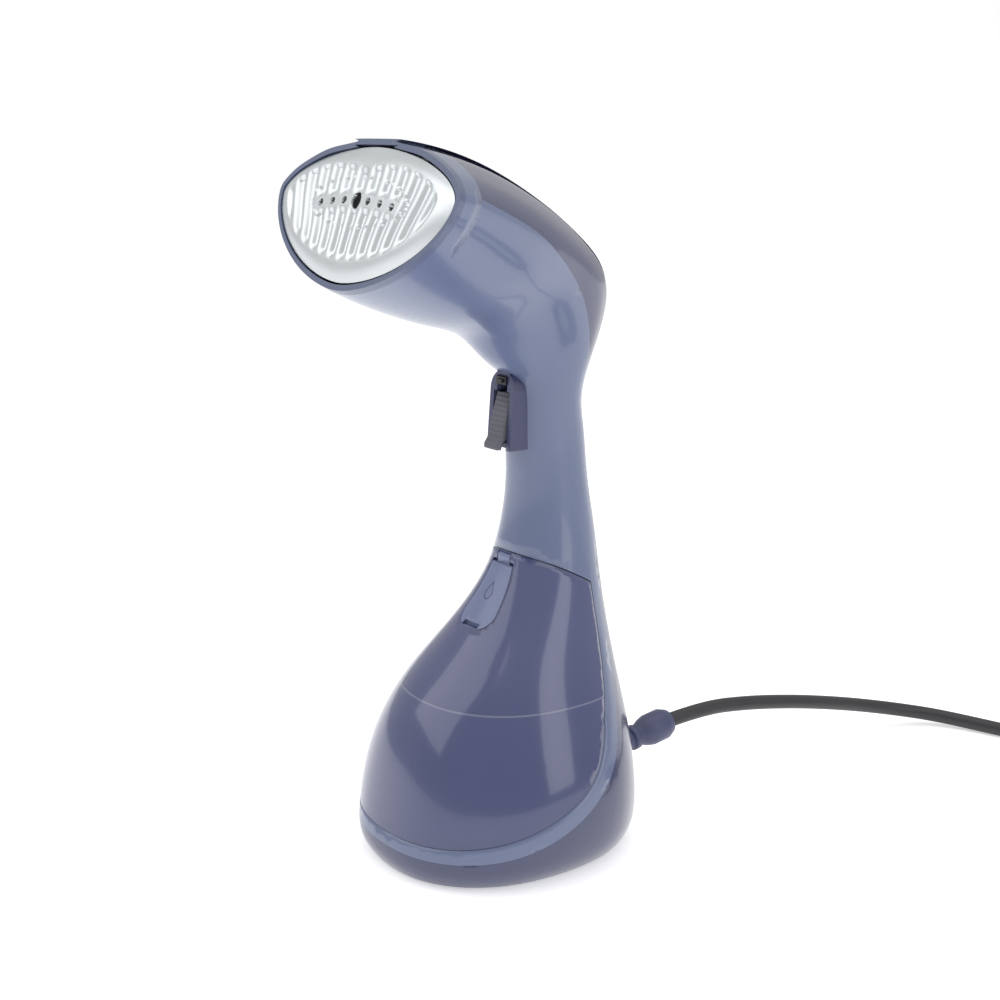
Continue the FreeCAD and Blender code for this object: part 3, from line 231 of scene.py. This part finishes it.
def plateSilver():
    finish = Finish("plateSilver", linear(214, 219, 221), 0.3, metallic=0.8)
    drift = finish.varied(0.03, 0.3, 0.14, 60.0)
    brushed = finish.grain(900.0, 3.0, (1.0, 0.15, 0.15))
    finish.bump(brushed * 0.5 + drift * 0.4, 0.02 * mm)
    return finish.material


def metal(name, colour, roughness, stretch=(1, 1, 1), depth=0.015):
    finish = Finish(name, colour, roughness, metallic=1.0)
    finish.varied(0.05, roughness, 0.18, 90.0)
    finish.bump(finish.grain(1600.0, 3.0, stretch), depth * mm)
    return finish.material


def softRubber(name, colour, roughness=0.6, depth=0.03):
    finish = Finish(name, colour, roughness)
    finish.varied(0.08, roughness, 0.14, 140.0)
    finish.bump(finish.grain(2200.0, 3.0), depth * mm)
    return finish.material


def cordJacket():
    finish = Finish("cordJacket", linear(46, 46, 49), 0.42)
    drift = finish.varied(0.12, 0.42, 0.16, 90.0)
    finish.bump(finish.grain(1500.0, 3.0) * 0.6 + drift * 0.4, 0.03 * mm)
    return finish.material


tankLook = {"colour": linear(94, 101, 150), "low": linear(72, 80, 134), "clear": 0.45, "roughness": 0.18,
            "weldHeight": 67.0}


def smokedTank():
    finish = Finish("smokedTank", tankLook["colour"], tankLook["roughness"], coat=0.6,
                    Transmission_Weight=tankLook["clear"], IOR=1.49, Coat_Roughness=0.04)
    x, y, z = finish.place()
    # the tank's colour turns darker towards the bottom, below the weld height
    darkerBelow = z.below(tankLook["weldHeight"], 26.0)
    swirl = finish.grain(22.0, 3.0)
    shade = finish.blended(darkerBelow * 0.8, tankLook["colour"], tankLook["low"])
    weld = abs(z - tankLook["weldHeight"]).below(0.3, 0.12) * 0.5
    shade = finish.blended(swirl * 0.18, shade, linear(140, 144, 176))
    finish.feed("Base Color", finish.blended(weld, shade, linear(176, 180, 206)))
    finish.feed("Roughness", swirl * 0.08 + (tankLook["roughness"] - 0.04))
    finish.bump(finish.grain(60.0, 2.0), 0.02 * mm)
    return finish.material


capLook = {"dropHeight": 105.0, "dropRadius": 2.0, "line": 0.28}


def capBlue():
    finish = Finish("capBlue", linear(104, 114, 150), 0.3, coat=0.3, Coat_Roughness=0.1)
    drift = finish.varied(0.04, 0.3, 0.06)
    x, y, z = finish.place()
    # an outlined drop of water: a circle below and two straight sides that meet above
    r = capLook["dropRadius"]
    up = z - capLook["dropHeight"]
    circle = (x * x + up * up) ** 0.5 - r
    sides = abs(x) * 0.88 + up * 0.47 - r
    sides = sides.greater(up - 4.2).greater(-up)
    edge = abs(circle.lesser(sides))
    mark = edge.below(capLook["line"], 0.08)
    shade = finish.blended(drift, linear(98, 108, 144), linear(110, 120, 156))
    finish.feed("Base Color", finish.blended(mark, shade, linear(66, 74, 112)))
    finish.bump(mark * -1.0 + finish.grain(700.0, 2.0) * 0.05, 0.12 * mm)
    return finish.material


def boardGreen():
    finish = Finish("boardGreen", linear(24, 92, 58), 0.35)
    tracks = finish.cells(420.0).below(0.35, 0.05)
    finish.feed("Base Color", finish.blended(tracks, linear(24, 92, 58), linear(38, 120, 74)))
    finish.bump(tracks, 0.03 * mm)
    return finish.material


def woundCoil():
    finish = Finish("woundCoil", linear(30, 30, 32), 0.45)
    x, y, z = finish.place()
    turns = finish.maths("SINE", x * 9.0)
    finish.feed("Base Color", finish.blended(finish.grain(80.0), linear(22, 22, 24), linear(44, 43, 44)))
    finish.bump(turns, 0.15 * mm)
    return finish.material


finishes = {key: moulded(**look) for key, look in plastics.items()}
finishes.update({
    "trigger": triggerGrey(), "plate": plateSilver(), "tank": smokedTank(), "cap": capBlue(),
    "board": boardGreen(), "winding": woundCoil(), "cord": cordJacket(),
    "steel": metal("springSteel", linear(196, 198, 204), 0.28),
    "cast": metal("castAlloy", linear(168, 168, 170), 0.5, depth=0.08),
    "brass": metal("sinteredBrass", linear(190, 160, 96), 0.45, depth=0.1),
    "pins": metal("nickelledPins", linear(205, 200, 186), 0.22, (1, 1, 0.2)),
    "rubber": softRubber("blackRubber", linear(34, 34, 37)),
    "clearRubber": softRubber("clearRubber", linear(196, 200, 212), 0.4),
    "hose": softRubber("siliconeHose", linear(186, 188, 194), 0.38),
    "relief": softRubber("reliefRubber", linear(70, 74, 106), 0.42, 0.02),
})
finishOfNode = {
    "trigger_pin": "steel", "trigger_spring": "steel", "trigger_switch": "black", "plate_gasket": "rubber",
    "steam_chamber": "cast", "chamber_cover": "cast", "heating_element": "steel", "plate_screws": "steel",
    "thermostat": "steel", "thermal_fuse": "steel", "cap_seal": "clearRubber", "cap_pin": "steel",
    "tank_valve": "white", "valve_poppet": "white", "valve_spring": "steel", "valve_seat": "white",
    "seat_seal": "rubber", "pickup_tube": "hose", "strainer": "brass", "base_plate": "violetSatin",
    "foot_ring": "rubber", "base_screws": "steel", "pump_body": "black", "pump_coil": "winding",
    "pump_plunger": "steel", "pump_mounts": "rubber", "control_board": "board", "board_parts": "black",
    "inlet_hose": "hose", "steam_hose": "hose", "tank_catches": "steel", "cord_clamp": "black",
    "clamp_screws": "steel", "housing_screws": "steel", "lock_slider": "black", "plug_pins": "pins",
    "cord_tie": "rubber",
}
for nodeName, finishName in finishOfNode.items():
    node = frame["nodes"][nodeName]
    node.data.materials.clear()
    node.data.materials.append(finishes[finishName])
print("finishes made", len(finishes))


# ---- shells: the design's own faces, merged and smoothly shaded

def settle(bm, name, finish, sharp=32.0):
    mesh = bpy.data.meshes.new(name)
    bm.to_mesh(mesh)
    bm.free()
    mesh.materials.append(finish)
    mesh.shade_smooth()
    mesh.set_sharp_from_angle(angle=math.radians(sharp))
    piece = bpy.data.objects.new(name, mesh)
    bpy.context.scene.collection.objects.link(piece)
    return piece


def smoothShell(node, name, finish):
    bm = bmesh.new()
    bm.from_mesh(frame["nodes"][node].data)
    bmesh.ops.remove_doubles(bm, verts=bm.verts, dist=2e-6)
    bmesh.ops.dissolve_degenerate(bm, edges=bm.edges, dist=1e-6)
    piece = settle(bm, name, finish)
    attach(piece, bodyOfNode[node])
    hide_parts(node)
    return piece


shells = {
    "front_housing": ("handleShell", "periwinkle", "periwinkle_gloss"),
    "rear_cover": ("rearShell", "violet", "violet_gloss"),
    "head_collar": ("headCollar", "periwinkle", "violet_gloss"),
    "bezel": ("plateBezel", "bezel", "bezel_satin"),
    "trigger_frame": ("triggerSurround", "violetSatin", "violet_satin"),
    "trigger": ("triggerPaddle", "trigger", "grey_grip"),
    "tank_upper": ("tankUpperShell", "tank", "tank_smoke"),
    "tank_lower": ("tankLowerShell", "tank", "tank_smoke"),
    "filler_cap": ("fillerFlap", "cap", "cap_blue"),
    "strain_relief": ("cordSleeve", "relief", "relief_violet"),
    "plug_body": ("plugShell", "plug", "plug_black"),
}
for node, (name, finish, slotName) in shells.items():
    smoothShell(node, name, finishes[finish])


# ---- soleplate

plateDark = Finish("steamHoleShade", linear(20, 21, 23), 0.6)
plateDark.varied(0.1, 0.6, 0.1, 200.0)
plate = {"centre": Vector((0, -60.8, 259.8)), "tilt": 19.8, "below": 29.8, "above": 20.2, "half": 58.8,
         "level": 0.63, "roundness": 1.75, "back": -3.0, "edge": -0.4, "proud": 1.8, "slope": 4.4,
         "around": 420, "rings": 120, "pitch": 8.2, "grooveDepth": 1.5, "grooves": 6, "holeDrop": 1.6,
         "holeRadius": 1.3, "middleHole": 3.0, "holeDepth": 2.2, "dotDepth": 0.35, "dotRadius": 0.85}


def plateOutline(turn, share):
    # a point on the soleplate's face: share 0 is the middle of its widest line, 1 its edge
    e = 2 / plate["roundness"]
    c, s = math.cos(turn), math.sin(turn)
    length = plate["above"] + plate["below"]
    widest = -plate["below"] + plate["level"] * length
    reach = (1 - plate["level"]) * length if s > 0 else plate["level"] * length
    x = math.copysign(abs(c) ** e, c) * plate["half"] * share
    v = widest + math.copysign(abs(s) ** e, s) * reach * share
    return x, v


def softStep(value, low, high):
    t = min(1.0, max(0.0, (value - low) / (high - low)))
    return t * t * (3 - 2 * t)


def holeRow(x):
    return -plate["holeDrop"] * (x / (3 * plate["pitch"])) ** 2


def plateHeight(x, v, turn, share):
    # the crowned border, then the fanned grooves, the embossed dots and the steam holes
    ex, ev = plateOutline(turn, 1.0)
    toEdge = math.hypot(ex - x, ev - v)
    height = plate["edge"] + (plate["proud"] - plate["edge"]) * math.sin(
        0.5 * math.pi * min(1.0, toEdge / (plate["slope"] + 4.0)))
    fan = 1 + 0.0065 * v
    wave = 0.9 * math.sin(v * 0.17 + 0.6) * (1 if x >= 0 else -1) * min(1.0, abs(x) / 12)
    place = (x - wave) / (plate["pitch"] * fan)
    if abs(place) < plate["grooves"] + 0.5:
        valley = (0.5 + 0.5 * math.cos(2 * math.pi * place)) ** 1.6
        inside = softStep(toEdge, 7.0, 11.0)
        across = x - round(x / plate["pitch"]) * plate["pitch"]
        aside = softStep(math.hypot(across * 0.6, v - holeRow(x)), 2.0, 5.0)
        keepRow = 1.0 if abs(x) > 3.6 * plate["pitch"] else aside
        height -= plate["grooveDepth"] * valley * inside * keepRow
    for i in range(-3, 4):
        hx = i * plate["pitch"]
        far = math.hypot(x - hx, v - holeRow(hx))
        radius = plate["middleHole"] if i == 0 else plate["holeRadius"]
        height -= plate["holeDepth"] * (1 - softStep(far, radius * 0.82, radius * 1.08))
    ring = math.hypot(x / 33.0, (v + 0.5) / 9.0)
    if 0.75 < ring < 1.25:
        steps = 36
        near = round(math.atan2((v + 0.5) / 9.0, x / 33.0) / (2 * math.pi) * steps) / steps * 2 * math.pi
        far = math.hypot(x - 33.0 * math.cos(near), v + 0.5 - 9.0 * math.sin(near))
        height += plate["dotDepth"] * (1 - softStep(far, plate["dotRadius"] * 0.4, plate["dotRadius"]))
    return height


def onHead(x, up, out):
    tilt = math.radians(plate["tilt"])
    outward = Vector((0, -math.cos(tilt), math.sin(tilt)))
    upward = Vector((0, math.sin(tilt), math.cos(tilt)))
    return (plate["centre"] + Vector((x, 0, 0)) + upward * up + outward * out) * mm


def offHead(point):
    # the other way round: from a place in the frame to across, up and out on the head
    tilt = math.radians(plate["tilt"])
    far = point / mm - plate["centre"]
    up = far.y * math.sin(tilt) + far.z * math.cos(tilt)
    return far.x, up, far.z * math.sin(tilt) - far.y * math.cos(tilt)


def makeSoleplate():
    bm = bmesh.new()
    bmesh.ops.create_grid(bm, x_segments=plate["around"], y_segments=plate["rings"], size=1.0)
    for vert in bm.verts:
        turn = math.pi * vert.co.x
        share = (1 - vert.co.y) / 2
        share = 1 - (1 - share) ** 1.15
        x, v = plateOutline(turn, share)
        vert.co = onHead(x, v, plateHeight(x, v, turn, share))
    bmesh.ops.remove_doubles(bm, verts=bm.verts, dist=2e-6)
    rim = [edge for edge in bm.edges if edge.is_boundary]
    skirt = bmesh.ops.extrude_edge_only(bm, edges=rim)["geom"]
    lower = [item for item in skirt if isinstance(item, bmesh.types.BMVert)]
    bmesh.ops.translate(bm, verts=lower, vec=onHead(0, 0, plate["back"]) - onHead(0, 0, plate["edge"]))
    bmesh.ops.contextual_create(bm, geom=[edge for edge in bm.edges if edge.is_boundary])
    bmesh.ops.recalc_face_normals(bm, faces=bm.faces)
    piece = settle(bm, "groovedSoleplate", finishes["plate"], 50.0)
    piece.data.materials.append(plateDark.material)
    for face in piece.data.polygons:
        x, v, out = offHead(face.center)
        near = round(x / plate["pitch"])
        radius = plate["middleHole"] if near == 0 else plate["holeRadius"]
        hx = near * plate["pitch"]
        inHole = abs(near) <= 3 and math.hypot(x - hx, v - holeRow(hx)) < radius
        face.material_index = 1 if inHole and out > plate["back"] + 0.5 else 0
    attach(piece, bodyOfNode["soleplate"])
    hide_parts("soleplate")
    return piece


makeSoleplate()
print("soleplate made")


# ---- cord: from the sleeve, along the floor, round the coil and into the plug

cord = {
    "diameter": 6.5, "length": 1.7,
    "lead": [(0, 92.0, 29.0), (1.0, 112, 31.0), (4.0, 136, 29.2), (6.2, 162, 24.8), (7.2, 188, 18.8),
             (8.6, 211, 12.8), (12.6, 229, 8.2), (22, 244.5, 5.0), (37, 253.4, 3.7), (55.5, 260.4, 3.25),
             (76, 268.6, 3.25), (96.5, 277.6, 3.6), (116.5, 286.0, 4.25)],
    "reliefStart": (0, 50, 22.6), "reliefWay": (0, 42, 6.4), "reliefLength": 42.5,
    "meanRadius": 36.5, "turns": 5.983, "lift": 1.0, "pointsPerTurn": 16, "jog": 0.18,
    "tail": [(13, 0, 0.25), (25.0, -5.0, 0.9), (34.2, -14.2, 1.7), (39.2, -26.2, 2.7), (39.2, -39.2, 3.9),
             (34.2, -51.2, 5.0), (25.0, -60.4, 5.55)],
}


def coilPlace(t):
    # radius and height of the cord's middle after t turns, layer by layer
    d, w = cord["diameter"], cord["jog"]
    inner, middle, outer = (cord["meanRadius"] + k * d for k in (-1, 0, 1))
    radii = [(0, outer), (1 - w, outer), (1, middle), (2 - w, middle), (2, inner), (4 - w, inner),
             (4, middle), (5 - w, middle), (5, outer), (9, outer)]
    layers = [(0, 0.5), (3 - w, 0.5), (3, 1.5), (5.72, 1.5), (5.983, 2.5), (9, 2.5)]

    def along(table):
        for (a, low), (b, high) in zip(table, table[1:]):
            if t <= b:
                return low + (high - low) * softStep(t, a, b)
        return table[-1][1]
    return along(radii), cord["lift"] + along(layers) * d


def makeCord():
    way = Vector(cord["reliefWay"]).normalized()
    start = Vector(cord["reliefStart"]) + way * cord["reliefLength"]
    points = [start] + [Vector(p) for p in cord["lead"][1:]]
    last, before = points[-1], points[-2]
    heading = Vector((last.x - before.x, last.y - before.y, 0)).normalized()
    right = Vector((heading.y, -heading.x, 0))
    centre = last + right * (cord["meanRadius"] + cord["diameter"])
    startAngle = math.atan2(-right.y, -right.x)
    steps = round(cord["turns"] * cord["pointsPerTurn"])
    for i in range(1, steps + 1):
        t = cord["turns"] * i / steps
        radius, height = coilPlace(t)
        angle = startAngle - 2 * math.pi * t
        aside = Vector((math.cos(angle), math.sin(angle), 0)) * radius
        points.append(Vector((centre.x, centre.y, height)) + aside)
    outward = Vector((math.cos(angle), math.sin(angle), 0))
    onward = Vector((math.sin(angle), -math.cos(angle), 0))
    first = points[-1]
    points += [first + onward * a + outward * b + Vector((0, 0, c)) for a, b, c in cord["tail"]]
    line = bpy.data.curves.new("mainsCord", "CURVE")
    line.dimensions, line.resolution_u = "3D", 8
    line.bevel_depth, line.bevel_resolution, line.use_fill_caps = cord["diameter"] / 2 * mm, 6, True
    spline = line.splines.new("NURBS")
    spline.points.add(len(points) - 1)
    for place, point in zip(spline.points, points):
        place.co = (*(point * mm), 1.0)
    spline.order_u = 3
    spline.use_endpoint_u = True
    spline.use_smooth = True
    line.materials.append(finishes["cord"])
    piece = bpy.data.objects.new("mainsCord", line)
    bpy.context.scene.collection.objects.link(piece)
    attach(piece, "housing")
    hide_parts("cord_lead", "cord_coil", "cord_tail")
    return piece


makeCord()
print("cord made")


# ---- floor, light and camera

studio = {"floor": linear(246, 246, 247), "floorGlow": 0.46, "world": 0.62, "backdrop": 1.0,
          "cameraPlace": (0.49459, -0.35190, 0.28580),
          "right": (0.58013, 0.81452, 0.0), "up": (-0.18738, 0.13346, 0.97318),
          "forward": (-0.79267, 0.56457, -0.23005), "lens": 56.88}


def makeFloor():
    bm = bmesh.new()
    bmesh.ops.create_grid(bm, x_segments=1, y_segments=1, size=4.0)
    finish = Finish("paleFloor", studio["floor"], 0.7, Emission_Color=(1, 1, 1, 1),
                    Emission_Strength=studio["floorGlow"])
    finish.varied(0.004, 0.7, 0.05, 4.0)
    floor = settle(bm, "studioFloor", finish.material)


def areaLight(name, place, target, size, power, tint=(1, 1, 1)):
    light = bpy.data.lights.new(name, "AREA")
    light.shape, light.size, light.size_y = "RECTANGLE", size[0], size[1]
    light.energy, light.color = power, tint
    lamp = bpy.data.objects.new(name, light)
    lamp.location = place
    lamp.rotation_euler = (Vector(target) - Vector(place)).to_track_quat("-Z", "Y").to_euler()
    bpy.context.scene.collection.objects.link(lamp)


def makeStudio():
    world = bpy.data.worlds.new("paleRoom")
    world.use_nodes = True
    # the backdrop that is seen stays white while the light it gives is softer
    tree = world.node_tree
    tree.nodes["Background"].inputs["Color"].default_value = (1.0, 1.0, 1.0, 1)
    rays = tree.nodes.new("ShaderNodeLightPath")
    strength = tree.nodes.new("ShaderNodeMapRange")
    strength.inputs["To Min"].default_value = studio["world"]
    strength.inputs["To Max"].default_value = studio["backdrop"]
    tree.links.new(rays.outputs["Is Camera Ray"], strength.inputs["Value"])
    tree.links.new(strength.outputs["Result"], tree.nodes["Background"].inputs["Strength"])
    bpy.context.scene.world = world
    areaLight("keySoftbox", (-0.7, -1.1, 1.2), (0, 0, 0.13), (1.4, 1.4), 7)
    areaLight("sideStrip", (1.2, 0.5, 0.7), (0, 0, 0.14), (0.5, 1.2), 3)
    areaLight("topSoftbox", (0.1, 0.2, 1.5), (0, 0, 0.1), (1.6, 1.6), 7)


def makeCamera():
    view = bpy.data.cameras.new("studioCamera")
    view.lens, view.sensor_width = studio["lens"], 36.0
    view.clip_start, view.clip_end = 0.01, 20.0
    camera = bpy.data.objects.new("studioCamera", view)
    right, up, forward = (Vector(studio[key]) for key in ("right", "up", "forward"))
    turn = Matrix((right, up, -forward)).transposed()
    camera.matrix_world = Matrix.Translation(studio["cameraPlace"]) @ turn.to_4x4()
    bpy.context.scene.collection.objects.link(camera)
    bpy.context.scene.camera = camera


makeFloor()
makeStudio()
makeCamera()
print("studio made")
